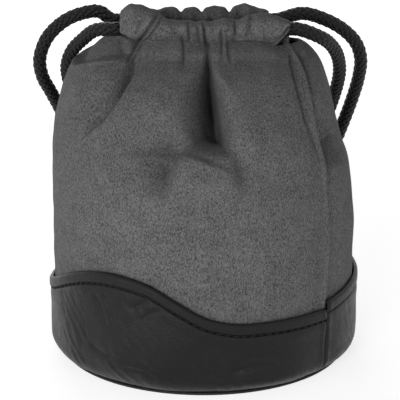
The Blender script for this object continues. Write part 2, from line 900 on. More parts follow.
@dataclass
class Cords:
    """The two drawcords, each a left and a right strand that meet inside a hem.

    Attributes:
        offset: Distance of the channels from the middle of the mouth.
        height: Height of the channels.
        gap: Gap between the strands where they meet.
        lead: Straight length outside a hem.
        exit_depth: Distance of the declared exit inside the hem's end.
        braid: The cord.
    """

    offset: float = CHANNEL_OFFSET
    height: float = 127.9
    gap: float = 0.3
    lead: float = 3.0
    exit_depth: float = 4.0
    braid: Drawcord = field(default_factory=Drawcord)

    RIGHT_REAR = (
        (38, 11.5, 130), (46.5, 13, 127.5), (54, 16, 123), (59.5, 20, 117), (62, 24, 110), (62, 29, 102),
        (60.5, 35, 92.5), (57.5, 41, 80.5), (53, 47, 66), (46.3, 52.8, 49.4),
    )
    RIGHT_FRONT = (
        (43, -6, 124.5), (48.5, 3, 119.5), (52, 12, 113), (53.5, 21, 105), (53, 29, 96.5), (51.5, 36, 88),
        (48.5, 42.5, 75.5), (44.5, 48.5, 61.5), (39.7, 53.2, 50.8),
    )
    LEFT_REAR = (
        (-40, 10.2, 131), (-47, 11, 130), (-54, 13, 126.5), (-60.5, 15, 120), (-64, 18, 111), (-63.5, 22, 103),
        (-61, 27, 96), (-58, 33, 87.5), (-54.5, 41, 74), (-50.5, 47.5, 61), (-45.3, 53.8, 49.5),
    )
    LEFT_FRONT = (
        (-40.5, -4.5, 126.5), (-46, 3, 121.5), (-50.5, 10, 116), (-53, 15, 110), (-53.5, 22, 103), (-52, 31, 93.5),
        (-48.5, 39, 80), (-44.5, 47, 64), (-38.7, 52.8, 50.6),
    )
    RIGHT_KNOT = (43.5, 56.5, 43.5)
    LEFT_KNOT = (-42.5, 56.5, 43.5)

    def route(self, side: Side, leave: float, free: Sequence[Sequence[float]]) -> list[tuple[float, ...]]:
        """Whole route of a strand: straight in its channel, then free to its knot.

        Args:
            side: Hem that the strand runs in.
            leave: End of the hem that the strand leaves.
            free: Points outside the hem.

        Returns:
            Points of the route.
        """
        out = math.copysign(1.0, leave)
        start = CORDS_MEET[side] + out * self.gap / 2
        y = side.value * self.offset
        straight = [start, (start + leave) / 2, leave - out * self.lead, leave + out * self.lead]
        return [(x, y, self.height) for x in straight] + [tuple(point) for point in free]

    def build(self) -> None:
        plan = (
            (Body.RIGHT_CORD, "right", 1, self.RIGHT_KNOT, (self.RIGHT_FRONT, self.RIGHT_REAR)),
            (Body.LEFT_CORD, "left", 0, self.LEFT_KNOT, (self.LEFT_FRONT, self.LEFT_REAR)),
        )
        for body, hand, end, place, routes in plan:
            knot = self.braid.knot(f"{hand}_knot", place, [free[-1] for free in routes], body)
            for side, free in zip(Side, routes):
                name = f"{hand}_{side.name.lower()}_strand"
                leave = HEM_ENDS[side][end]
                piece, path = self.braid.strand(name, self.route(side, leave, free), body)
                LOG.info("%s: %.0f mm long", name, line_length(path))


@dataclass(frozen=True)
class Pleat:
    """One sharp pleat across a hem's outer face, or in the panel below it.

    Attributes:
        x: Place of its lower end along the hem.
        low: Height of its lower end.
        high: Height of its upper end.
        depth: Depth of the pleat.
        width: Half width of the pleat.
        lean: Sideways travel from its lower to its upper end.
    """

    x: float
    low: float
    high: float
    depth: float
    width: float = 0.8
    lean: float = 0.0

    # Heights over which an end fades, outside it and inside it, and power of the slope.
    FADE = (1.0, 1.2)
    BITE = 1.5

    def offset(self, x: Array, z: Array) -> Array:
        """Relief of the pleat at places of the face.

        Args:
            x: Places along the hem.
            z: Heights.

        Returns:
            Offset outwards, in millimetres.
        """
        middle = self.x + self.lean * (z - self.low) / max(self.high - self.low, 0.1)
        before, after = self.FADE
        inside = smooth(z, self.low - before, self.low + after) * smooth(z, self.high + before, self.high - after)
        return -self.depth * inside * np.exp(-(np.abs((x - middle) / self.width) ** self.BITE))


@dataclass
class SuedeBag:
    """Suede bag: a front and a rear panel sewn at two side seams and gathered to the mouth.

    Attributes:
        radius: Outer radius of the wall.
        foot: Height of the wall's foot.
        shoulder: Height where the wall starts to dome in.
        gather: Height of the lips.
        half_length: Half length of the mouth.
        half_width: Half width of the mouth.
        squareness: Roundness power of the mouth.
        thickness: Thickness of the suede.
        seam: Angle of the right side seam.
        gap: Gap between the panels.
        drawn_in: How far the right side is drawn in.
        fuller: How far the left side stands out.
        given_back: Share of the drawing in that is lost at the lips.
        lean_foot: Height where both start.
        lean_top: Height where both are full.
        lean_near: Distance from the middle where both start.
        lean_far: Distance from the middle where both are full.
        turn_start: Rise where the lips start to turn up.
        turn_length: Rise over which they turn up.
        turn_power: Power of that turn.
        shelf: How far the front lip stands out.
        shelf_left: How much further it stands out left of the right lobe.
        level_share: Share of a fold's depth that is level near the lips.
        swell: Height of the cloth's slow unevenness.
        ripple: Height of its finer unevenness.
        seam_drift: How far the right seam drifts to the right on its way up, in degrees.
        drift_reach: Angle over which the cloth beside it follows.
        wall_share: Share of the rise that is the upright wall.
        lining_top: Height of the lining's upper edge.
        lining_gap: Gap between the suede and the lining.
        lining_thickness: Thickness of the lining.
    """

    radius: float = 58.3
    foot: float = 8.9
    shoulder: float = 66.0
    gather: float = 120.5
    half_length: float = 39.0
    half_width: float = 13.5
    squareness: float = 3.0
    thickness: float = 1.2
    seam: float = SEAM_ANGLE
    gap: float = 0.06
    drawn_in: float = 4.3
    fuller: float = 1.0
    given_back: float = 0.35
    lean_foot: float = 44.0
    lean_top: float = 108.0
    lean_near: float = 4.0
    lean_far: float = 47.0
    turn_start: float = 0.8
    turn_length: float = 0.2
    turn_power: float = 2.3
    shelf: float = 2.8
    shelf_left: float = 1.6
    level_share: float = 0.85
    swell: float = 0.55
    ripple: float = 0.16
    seam_drift: float = 4.6
    drift_reach: float = 22.0
    wall_share: float = 0.3
    lining_top: float = 92.0
    lining_gap: float = 0.5
    lining_thickness: float = 0.8

    TOP_LINE = (
        (-132, 121), (-110, 122.5), (-90, 124), (-70, 125.5), (-45, 126), (-38, 125), (-28, 124), (-18, 125),
        (-11, 125.4), (-6, 125), (-2, 124.2), (0.6, 123.4), (3, 124.4), (6, 124.8), (9, 124.2), (18, 124.2),
        (28, 123.4), (42, 122.4), (50, 122.4), (70, 122.6), (90, 122.2), (110, 121.6), (149, 121.4), (180, 121.2),
        (228, 121), (232, 121),
    )
    # Upper rows of a panel that its hem starts from.
    LIP_ROWS = 12
    LIP_PLEATS = (Pleat(-27.7, 117.5, 128.0, 2.4, 0.8, 6.8), Pleat(-26.1, 117.5, 128.0, 1.6, 0.6, 7.4))
    FRONT_FOLDS = (
        Fold(((8.6, 89), (8.0, 95), (6.8, 101.5), (4.8, 109), (2.8, 115), (1.7, 121)), 26.0, 8.5, 1.5,
             right_lip=1.0, left_lip=0.6, spread=(2.5, 0.25), fade=(0.5, 0.3), bite=1.3),
        Fold(((5.2, 107), (3.0, 114.4), (1.7, 121)), 3.2, 1.3, 0.6, fade=(0.4, 0.0)),
        Fold(((-14.5, 74), (-14.5, 81), (-12.5, 88), (-8.5, 94), (-4, 99)), 8.0, 8.5, 3.6, right_lip=1.0,
             fade=(0.45, 0.4)),
        Fold(((15.5, 76), (14.8, 83), (13.6, 90), (11.6, 97)), 3.4, 4.4, 4.0, left_lip=0.6, fade=(0.5, 0.4)),
        Fold(((-2, 77), (-0.5, 84), (1.5, 90)), -3.0, 7.0, 6.0, fade=(0.4, 0.2)),
        Fold(((-45, 91), (-40, 96.5), (-35.5, 101), (-31, 107.5), (-27.3, 113.0), (-23.3, 117.5), (-19.5, 121)),
             8.0, 5.0, 0.5, right_lip=1.2, fade=(0.4, 0.3)),
        Fold(((-33.0, 106), (-28.8, 112.6), (-25.2, 117.0), (-22.8, 119.0), (-21.2, 120.0)), 2.8, 1.3, 0.5,
             right_lip=0.6, fade=(0.3, 0.12)),
        Fold(((-33, 109), (-29.5, 114), (-26.5, 117.6), (-24, 121)), 1.8, 1.2, 0.6, fade=(0.4, 0.3)),
        Fold(((-55, 110.5), (-47, 115.5), (-40, 118.2), (-32, 119.2), (-26, 119.6)), 4.0, 4.0, 0.9, right_lip=1.4,
             fade=(0.25, 0.15)),
        Fold(((45.6, 84), (43.6, 93), (41.8, 101), (39.4, 109), (36.8, 115.5), (34.4, 121)), 2.8, 1.4, 1.5,
             left_lip=0.5, fade=(0.4, 0.1)),
        Fold(((49.5, 78), (48.8, 86), (47.6, 94), (46.0, 102), (44.0, 109)), 6.0, 1.6, 6.5, spread=(1.0, 0.6),
             fade=(0.35, 0.5), bite=1.6),
        Fold(((47.8, 88.4), (51.0, 89.4), (54.8, 91.0)), 1.8, 0.8, 2.4, left_lip=0.8, fade=(0.3, 0.3)),
        Fold(((10.0, 117.4), (10.4, 119.6), (10.6, 122)), 2.4, 1.6, 0.7, right_lip=0.6, fade=(0.5, 0.0)),
        Fold(((6.8, 118), (6.6, 122)), 1.6, 0.7, 0.6, left_lip=0.3, fade=(0.4, 0.0)),
        Fold(((-7.4, 116.8), (-7.0, 119), (-6.6, 122)), 2.4, 0.9, 0.7, right_lip=0.5, fade=(0.45, 0.0)),
        Fold(((-14, 110), (-13, 116), (-12.4, 122)), 0.8, 2.6, 2.0, fade=(0.6, 0.0)),
        Fold(((20, 97), (22, 107), (23, 116)), 0.9, 6.0, 6.0, fade=(0.5, 0.3)),
        Fold(((-34, 64), (-20, 71), (-8, 73)), 0.7, 9.0, 6.0, fade=(0.4, 0.4)),
        Fold(((10, 66), (24, 70), (36, 67)), 0.6, 8.0, 7.0, fade=(0.4, 0.4)),
    )
    REAR_FOLDS = (
        Fold(((2, 88), (1.2, 100), (0.5, 110), (0, 121)), 10.0, 5.0, 7.0, left_lip=0.8, spread=(1.4, 0.3),
             fade=(0.5, 0.42), bite=1.8),
        Fold(((0.8, 106), (0.3, 114), (0, 121)), 1.8, 1.0, 1.2, fade=(0.5, 0.0)),
        Fold(((-30, 90), (-24, 102), (-19, 112), (-16, 121)), 4.4, 6.0, 1.2, right_lip=1.0, fade=(0.5, 0.25)),
        Fold(((33, 88), (26, 101), (21, 112), (17, 121)), 4.2, 1.2, 6.0, left_lip=1.0, fade=(0.5, 0.25)),
        Fold(((10, 99), (9, 109), (8, 122)), 1.6, 1.8, 1.4, fade=(0.5, 0.0)),
        Fold(((-11, 101), (-9, 111), (-8, 122)), 1.6, 1.6, 1.8, fade=(0.5, 0.0)),
        Fold(((42, 92), (47, 92.5), (53, 91.5)), 1.3, 2.5, 1.2, fade=(0.3, 0.3)),
        Fold(((-49, 97), (-42, 103), (-34, 108)), 1.8, 4.0, 1.2, fade=(0.3, 0.3)),
        Fold(((-26, 62), (-8, 68), (14, 66)), 0.7, 9.0, 7.0, fade=(0.4, 0.4)),
    )

    def face(self, angle: Array, rise: Array) -> Array:
        """Even outer face of the bag, before its folds.

        Args:
            angle: Angle from the front, in degrees.
            rise: Share of the way from the foot to the lips.

        Returns:
            Points in millimetres.
        """
        dome = np.radians(90.0 * np.clip((rise - self.wall_share) / (1.0 - self.wall_share), 0.0, 1.0))
        foot = self.foot + (self.shoulder - self.foot) * np.clip(rise / self.wall_share, 0.0, 1.0)
        height = np.where(rise < self.wall_share, foot, self.shoulder + (self.gather - self.shoulder) * np.sin(dome))
        fullness = np.cos(dome)
        length = self.half_length + (self.radius - self.half_length) * fullness
        width = self.half_width + (self.radius - self.half_width) * fullness
        power = 2.0 / (2.0 + (self.squareness - 2.0) * (1.0 - fullness))
        turn = np.radians(angle)
        return np.stack(
            [length * signed_power(np.sin(turn), power), -width * signed_power(np.cos(turn), power), height], axis=-1
        )

    def lean(self, base: Array, angle: Array, rise: Array) -> Array:
        """Uneven stand of the bag: the left side is fuller, the right side is drawn in, and the lips rise and dip.

        Args:
            base: Points of the even face.
            angle: Angle of each point.
            rise: Rise of each point.

        Returns:
            Moved points.
        """
        x, y, z = base[..., 0], base[..., 1], base[..., 2]
        held = smooth(z, self.lean_foot, self.lean_top)
        drawn = self.drawn_in * (1.0 - self.given_back * smooth(z, self.lean_top, self.gather))
        right, left = (smooth(way * x, self.lean_near, self.lean_far) for way in (1, -1))
        moved = x - held * (drawn * right + self.fuller * left)
        turned = np.where(angle < self.seam - 181.0, angle + 360.0, angle)
        turn_up = np.clip((rise - self.turn_start) / self.turn_length, 0.0, 1.0) ** self.turn_power
        lifted = z + (read_table(self.TOP_LINE, turned, 0.5) - self.gather) * turn_up
        stand = self.shelf * smooth(x, 33.0, 27.0) + self.shelf_left * smooth(x, 12.0, 8.0)
        stand = smooth(x, -24.0, -16.0) * stand * (y < 0)
        return np.stack([moved, y - stand * smooth(rise, 0.86, 0.97), lifted], axis=-1)

    def shaped(self, angle: Array, rise: Array, depth: float = 0.0) -> Array:
        """Face of the bag with its folds.

        Args:
            angle: Angle of each point.
            rise: Rise of each point.
            depth: Distance inwards from the face.

        Returns:
            Points in millimetres.
        """
        base = self.face(angle, rise)
        moved = self.lean(base, angle, rise)
        normal = grid_normals(moved)
        level = normal * np.array([1.0, 1.0, 0.0])
        level /= np.maximum(np.linalg.norm(level, axis=-1, keepdims=True), 1e-6)
        share = self.level_share * smooth(rise, 0.6, 0.9)[..., None]
        way = normal * (1.0 - share) + level * share
        way /= np.linalg.norm(way, axis=-1, keepdims=True)
        x, y, z = base[..., 0], base[..., 1], base[..., 2]
        height = smooth(y, 20.0, 4.0) * all_folds(self.FRONT_FOLDS, x, z)
        height += smooth(y, 4.0, 20.0) * all_folds(self.REAR_FOLDS, x, z)
        height += self.swell * soft_noise(base, 34.0, 5) * smooth(z, 30.0, 60.0)
        height += self.ripple * soft_noise(base, 11.0, 8)
        return moved + way * height[..., None] - normal * depth

    def spaced(self, start: float, end: float, count: int) -> Array:
        """Angles that are spaced evenly for the wall and for the drawn mouth at once.

        Args:
            start: First angle.
            end: Last angle.
            count: Number of angles.

        Returns:
            The angles, in degrees.
        """
        dense = np.linspace(start, end, 4001)
        top = self.face(dense, np.ones(dense.shape))
        run = travelled(top)
        mixed = 0.5 * run / run[-1] + 0.5 * (dense - start) / (end - start)
        return np.interp(np.linspace(0.0, 1.0, count), mixed, dense)

    @staticmethod
    def seam_relief(left: Array, right: Array, rise: Array, felled: bool) -> Array:
        """Relief of a panel along its two seams.

        Args:
            left: Distance of each point from the left seam.
            right: Distance of each point from the right seam.
            rise: Rise of each point.
            felled: Whether the right edge is turned and sewn down.

        Returns:
            Offset outwards, in millimetres.
        """
        high = smooth(rise, 0.3, 0.55) * smooth(rise, 0.97, 0.88)
        if not felled:
            return -(0.3 + 2.1 * high) * smooth(left, 5.5, 0.4) - 0.4 * smooth(right, 3.0, 0.0)
        turned = bell(right, 0.8, 0.6) - bell(right, 2.6, 0.7)
        ridge = 0.6 * smooth(right, 3.6, 1.0) - 0.25 * smooth(right, 0.3, 0.0) + (0.15 + 0.4 * high) * turned
        return ridge - 0.4 * smooth(left, 3.0, 0.0)

    def panel(self, name: str, start: float, columns: int, rows: int, felled: bool) -> Array:
        """One suede panel from seam to seam.

        Args:
            name: Name of the CAD node that the panel stands for.
            start: Angle of its left seam.
            columns: Columns of points.
            rows: Rows of points.
            felled: Whether the panel's right edge is turned and sewn down along the seam.

        Returns:
            Rows of points along the panel's upper edge.
        """
        margin = math.degrees(self.gap / 2 / self.radius)
        angles = self.spaced(start + margin, start + 180.0 - margin, columns)
        angle, rise = np.meshgrid(angles, np.linspace(0.0, 1.0, rows))
        angle = angle + self.seam_drift * bell(angle, self.seam, self.drift_reach) * smooth(rise, 0.04, 0.3)
        points = self.shaped(angle, rise)
        normal = grid_normals(points)
        pace = np.linalg.norm(np.diff(points, axis=1), axis=-1)
        left = np.concatenate([np.zeros((rows, 1)), np.cumsum(pace, axis=1)], axis=1)
        relief = self.seam_relief(left, left[:, -1:] - left, rise, felled)
        points = points + normal * relief[..., None]
        if felled:
            for pleat in self.LIP_PLEATS:
                points[..., 1] -= pleat.offset(points[..., 0], points[..., 2]) * smooth(points[..., 1], -4.0, -8.0)
        piece = new_piece(f"{name}_suede", points, grid_faces(rows, columns), Body.POUCH, SUEDE, "suede")
        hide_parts(name)
        thicken(piece, self.thickness)
        return points[-self.LIP_ROWS:]

    def lining(self) -> bpy.types.Object:
        """Lining sleeve inside the bag, with a rolled upper edge.

        Returns:
            The lining.
        """
        columns, rows = 240, 90
        dome = math.asin((self.lining_top - self.shoulder) / (self.gather - self.shoulder))
        top = self.wall_share + (1.0 - self.wall_share) * dome / (math.pi / 2)
        angle, rise = np.meshgrid(np.linspace(-180.0, 180.0, columns, endpoint=False), np.linspace(0.0, top, rows))
        points = self.shaped(angle, rise, self.thickness + self.lining_gap)
        rim = smooth(rise, top * 0.965, top * 0.985) * (1 - smooth(rise, top * 0.99, top))
        clear = 2.4 * bell(angle, self.seam + 1.5, 9.0)
        points = points - grid_normals(points) * (0.7 * rim + clear)[..., None]
        faces = grid_faces(rows, columns, ring=True)
        piece = new_piece("lining_sleeve_knit", points, faces, Body.POUCH, LINING, "lining")
        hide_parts("lining_sleeve")
        thicken(piece, self.lining_thickness)
        return piece

    def build(self) -> tuple[Array, Array]:
        """Makes both panels and the lining.

        Returns:
            The upper rows of the front and of the rear panel.
        """
        front = self.panel("front_panel", self.seam - 180.0, 460, 300, True)
        rear = self.panel("rear_panel", self.seam, 320, 210, False)
        self.lining()
        return front, rear


@dataclass
class Hem:
    """Gathered channel hem: the panel's own upper edge, folded over the cord and open at both ends.

    Attributes:
        side: Lip that the hem is on.
        node: CAD node that the hem stands for.
        left: Left end.
        right: Right end.
        crown: Points (x, height) of the upper rim.
        fullness: Points (x, half thickness) of the outer face.
        tuck: Points (x, depth) of how far the outer face sits behind the panel's edge.
        flow: Points (x, share) of how far the panel runs on into the outer face without a break.
        lift: Points (x, height) of how far the outer face stands open above the panel's edge.
        pleats: Sharp pleats on the outer face.
        offset: Distance of the hem's middle from the middle of the mouth.
        inner: Half thickness of the inner face.
        middle: Height of the cord's channel.
        foot: Height of the inner face's lower edge.
        wall: Thickness of the suede.
    """

    side: Side
    node: str
    left: float
    right: float
    crown: Table
    fullness: Table
    tuck: Table
    flow: Table
    lift: Table
    pleats: tuple[Pleat, ...]
    offset: float = CHANNEL_OFFSET
    inner: float = 4.5
    middle: float = 127.2
    foot: float = 117.5
    wall: float = 0.9

    # Step of the tables, and rows of points on the outer face, over the rim and down the inside.
    TABLE_STEP = 0.25
    OUTER_ROWS = 30
    RIM_ROWS = 46
    INNER_ROWS = 14
    # Height, pitch and phase of the small gathers on the outer face, along the rim and on the inner face.
    OUTER_GATHERS = (0.35, 6.7, 0.6)
    RIM_GATHERS = (0.1, 3.9, 1.2)
    INNER_GATHERS = (0.6, 5.6, 1.0)
    # Height, size and seed of the cloth's unevenness.
    SWELL = (0.2, 9.0, 21)

    @staticmethod
    def gathers(x: Array, height: float, pitch: float, phase: float) -> Array:
        """Small even gathers at places along the hem."""
        return height * np.sin(2 * math.pi * x / pitch + phase)

    def ruffled(self, x: Array, out: Array, z: Array, outer: Array) -> Array:
        """Folded cloth with its pleats, its small gathers and its unevenness.

        Args:
            x: Place of each point along the hem.
            out: Distance of each point from the middle of the mouth.
            z: Height of each point.
            outer: Share of the outer face at each point.

        Returns:
            Points in millimetres.
        """
        out = out + outer * sum((pleat.offset(x, z) for pleat in self.pleats), np.zeros(out.shape))
        out = out + outer * self.gathers(x, *self.OUTER_GATHERS) - (1.0 - outer) * self.gathers(x, *self.INNER_GATHERS)
        z = z + smooth(z, 129.0, 132.5) * self.gathers(x, *self.RIM_GATHERS)
        points = np.stack([x, self.side.value * out, z], axis=-1)
        height, size, seed = self.SWELL
        points[..., 1] += self.side.value * height * soft_noise(points, size, seed + self.side.value) * outer
        return points

    def surface(self, lip: Array) -> Array:
        """Points of the folded cloth, from the panel's upper rows over the rim and down the inside.

        Args:
            lip: Rows of the panel's upper points along the hem.

        Returns:
            Rows of points.
        """
        edge = lip[-1]
        x = edge[:, 0]
        tables = (self.crown, self.fullness, self.tuck, self.flow, self.lift)
        crown, fullness, tuck, flow, lift = (read_table(table, x, self.TABLE_STEP) for table in tables)
        full = self.offset + fullness
        lift = np.maximum(lift, 0.0)
        near = np.minimum(x - self.left, self.right - x)
        pinch = 1.0 - 0.1 * np.exp(-np.maximum(near, 0.0) / 1.5)
        reach = -edge[:, 1] if self.side is Side.FRONT else edge[:, 1]
        low = edge[:, 2] + lift
        middle = np.maximum(self.middle + 1.2 * flow, low + 1.0)
        swept = np.minimum(low + 0.68 * np.maximum(reach - full, 0.0), middle - 0.4)
        bend = (1.0 - flow) * (low + middle) / 2 + flow * swept
        rows = []
        for share in np.linspace(0.0, 1.0, self.OUTER_ROWS, endpoint=False):
            ease = (1.0 - flow) * float(smooth(share, 0.0, 0.8)) + flow * (1.0 - (1.0 - share) ** 2)
            out = reach + (full * pinch - reach) * np.maximum(ease, smooth(lift, 0.0, 3.0))
            out = out - tuck * (1.0 - float(smooth(share, 0.12, 0.85))) * float(smooth(share, 0.0, 0.1))
            height = (1.0 - share) ** 2 * low + 2.0 * share * (1.0 - share) * bend + share**2 * middle
            rows.append((out, height, float(smooth(share, 0.0, 0.22))))
        for turn in np.linspace(0.0, math.pi, self.RIM_ROWS):
            half = full - self.offset if turn < math.pi / 2 else self.inner
            across = signed_power(math.cos(turn), 0.72) * half * pinch
            rise = abs(math.sin(turn)) ** 0.85 * (crown - middle)
            rows.append((self.offset + across, middle + rise, float(smooth(math.cos(turn), -0.2, 0.35))))
        for share in np.linspace(0.0, 1.0, self.INNER_ROWS)[1:]:
            rows.append((self.offset - self.inner * pinch, middle + (self.foot - middle) * share, 0.0))
        out, z, outer = table_rows(rows, x.shape)
        points = self.ruffled(np.broadcast_to(x, out.shape), out, z, outer)
        proud = np.linspace(-0.14, 0.1, len(lip) - 1)[:, None] * flow - 1.0 * (1.0 - flow)
        under = lip[:-1] + grid_normals(lip)[:-1] * proud[..., None]
        under = under + (points[:1] - under) * smooth(lift, 0.0, 0.4)[None, :, None]
        return np.concatenate([under, points])

    def build(self, edge: Array) -> bpy.types.Object:
        """Makes the hem on its panel's upper edge.

        Args:
            edge: Rows of points along the panel's upper edge.

        Returns:
            The hem.
        """
        last = edge[-1]
        kept = (last[:, 1] * self.side.value > 0) & (last[:, 0] >= self.left) & (last[:, 0] <= self.right)
        points = self.surface(edge[:, kept])
        rows, columns = points.shape[:2]
        piece = new_piece(f"{self.node}_suede", points, grid_faces(rows, columns), Body.POUCH, SUEDE, "suede")
        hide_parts(self.node)
        thicken(piece, self.wall)
        return piece


def front_hem() -> Hem:
    """Front hem with its full left end, its pleats and its right lobe."""
    return Hem(
        Side.FRONT, "front_hem", *HEM_ENDS[Side.FRONT],
        crown=((-32.5, 130.5), (-31.2, 133.6), (-29, 136.4), (-26, 137.4), (-22, 136.6), (-17, 134.0), (-13, 131.6),
               (-9, 131.0), (-5, 131.0), (-3.6, 130.5), (0, 130.9), (1.2, 130.5), (5, 131.2), (9, 131.9), (12, 131.2),
               (17, 133.0), (22, 133.8), (27, 132.8), (30.5, 131.6), (33, 130.4)),
        fullness=((-33, 3.8), (-31, 4.8), (-28, 6.4), (-24, 7.2), (-18, 6.6), (-12, 5.2), (0, 4.8), (8, 4.8), (13, 5.2),
                  (20, 5.8), (28, 5.4), (33, 4.6)),
        tuck=((-33, 0), (-26, 0), (6, 0), (9.5, 0.2), (12, 1.6), (20, 1.8), (28, 1.5), (33, 0.5)),
        flow=((-33, 0), (-29, 0), (-25.5, 0.5), (-22, 1), (0, 1), (8, 1), (10.5, 0.3), (12, 0), (33, 0)),
        lift=((-33, 3.4), (-31, 1.8), (-29, 0.7), (-27, 0), (20, 0), (25, 0), (26, 0.6), (28, 2.6), (30, 4.8),
              (32, 6.0), (34, 6.4)),
        pleats=(
            Pleat(-6.6, 117.0, 124.0, 2.2, 0.5), Pleat(-5.1, 123.5, 132.0, 2.2, 0.5, -0.6),
            Pleat(1.7, 117.0, 132.5, 2.8, 0.6, -2.0), Pleat(-1.4, 122.0, 130.0, 1.6, 0.5, -0.6),
            Pleat(6.6, 117.0, 128.5, 2.0, 0.5), Pleat(10.4, 117.0, 126.0, 2.4, 0.55, 0.5),
            Pleat(11.8, 126.0, 133.0, 2.2, 0.5), Pleat(-26.7, 119.0, 135.0, 3.2, 0.8, 10.4),
            Pleat(-25.0, 119.0, 134.0, 2.2, 0.6, 10.6), Pleat(-24.5, 128.0, 133.0, 1.0, 0.9, 3.0),
            Pleat(16.5, 126.0, 134.5, 1.4, 0.7, 1.5), Pleat(23.5, 124.0, 130.0, 1.0, 0.9, -1.5),
        ),
    )


def rear_hem() -> Hem:
    """Rear hem, whose small lobes show over the front one."""
    return Hem(
        Side.REAR, "rear_hem", *HEM_ENDS[Side.REAR],
        crown=((-33, 130.4), (-30, 132.0), (-24, 132.6), (-18, 131.6), (-13.4, 132.7), (-10, 132.1), (-8.6, 131.0),
               (-7.2, 132.0), (-4.6, 132.6), (-2, 132.2), (-0.7, 131.0), (0.8, 132.2), (4.6, 133.1), (8.4, 132.2),
               (9.8, 131.0), (11.4, 132.6), (16.0, 134.0), (20.6, 132.4), (23.5, 131.8), (26, 130.6)),
        fullness=((-33, 4.8), (-22, 6.0), (-10, 5.8), (0, 5.8), (12, 6.0), (26, 4.8)),
        tuck=((-33, 0), (0, 0.4), (26, 0)),
        flow=((-33, 0), (-25, 0.6), (0, 1), (18, 0.6), (26, 0)),
        lift=((-33, 0), (0, 0), (26, 0)),
        pleats=(
            Pleat(-8.6, 119.0, 133.0, 2.4, 0.8), Pleat(-0.7, 118.0, 133.0, 2.6, 0.8),
            Pleat(9.8, 119.0, 133.0, 2.4, 0.8), Pleat(-18.0, 120.0, 132.0, 1.2, 0.9),
            Pleat(13.0, 120.0, 128.0, 1.0, 0.7), Pleat(-5.0, 119.0, 126.0, 0.9, 0.6),
        ),
    )


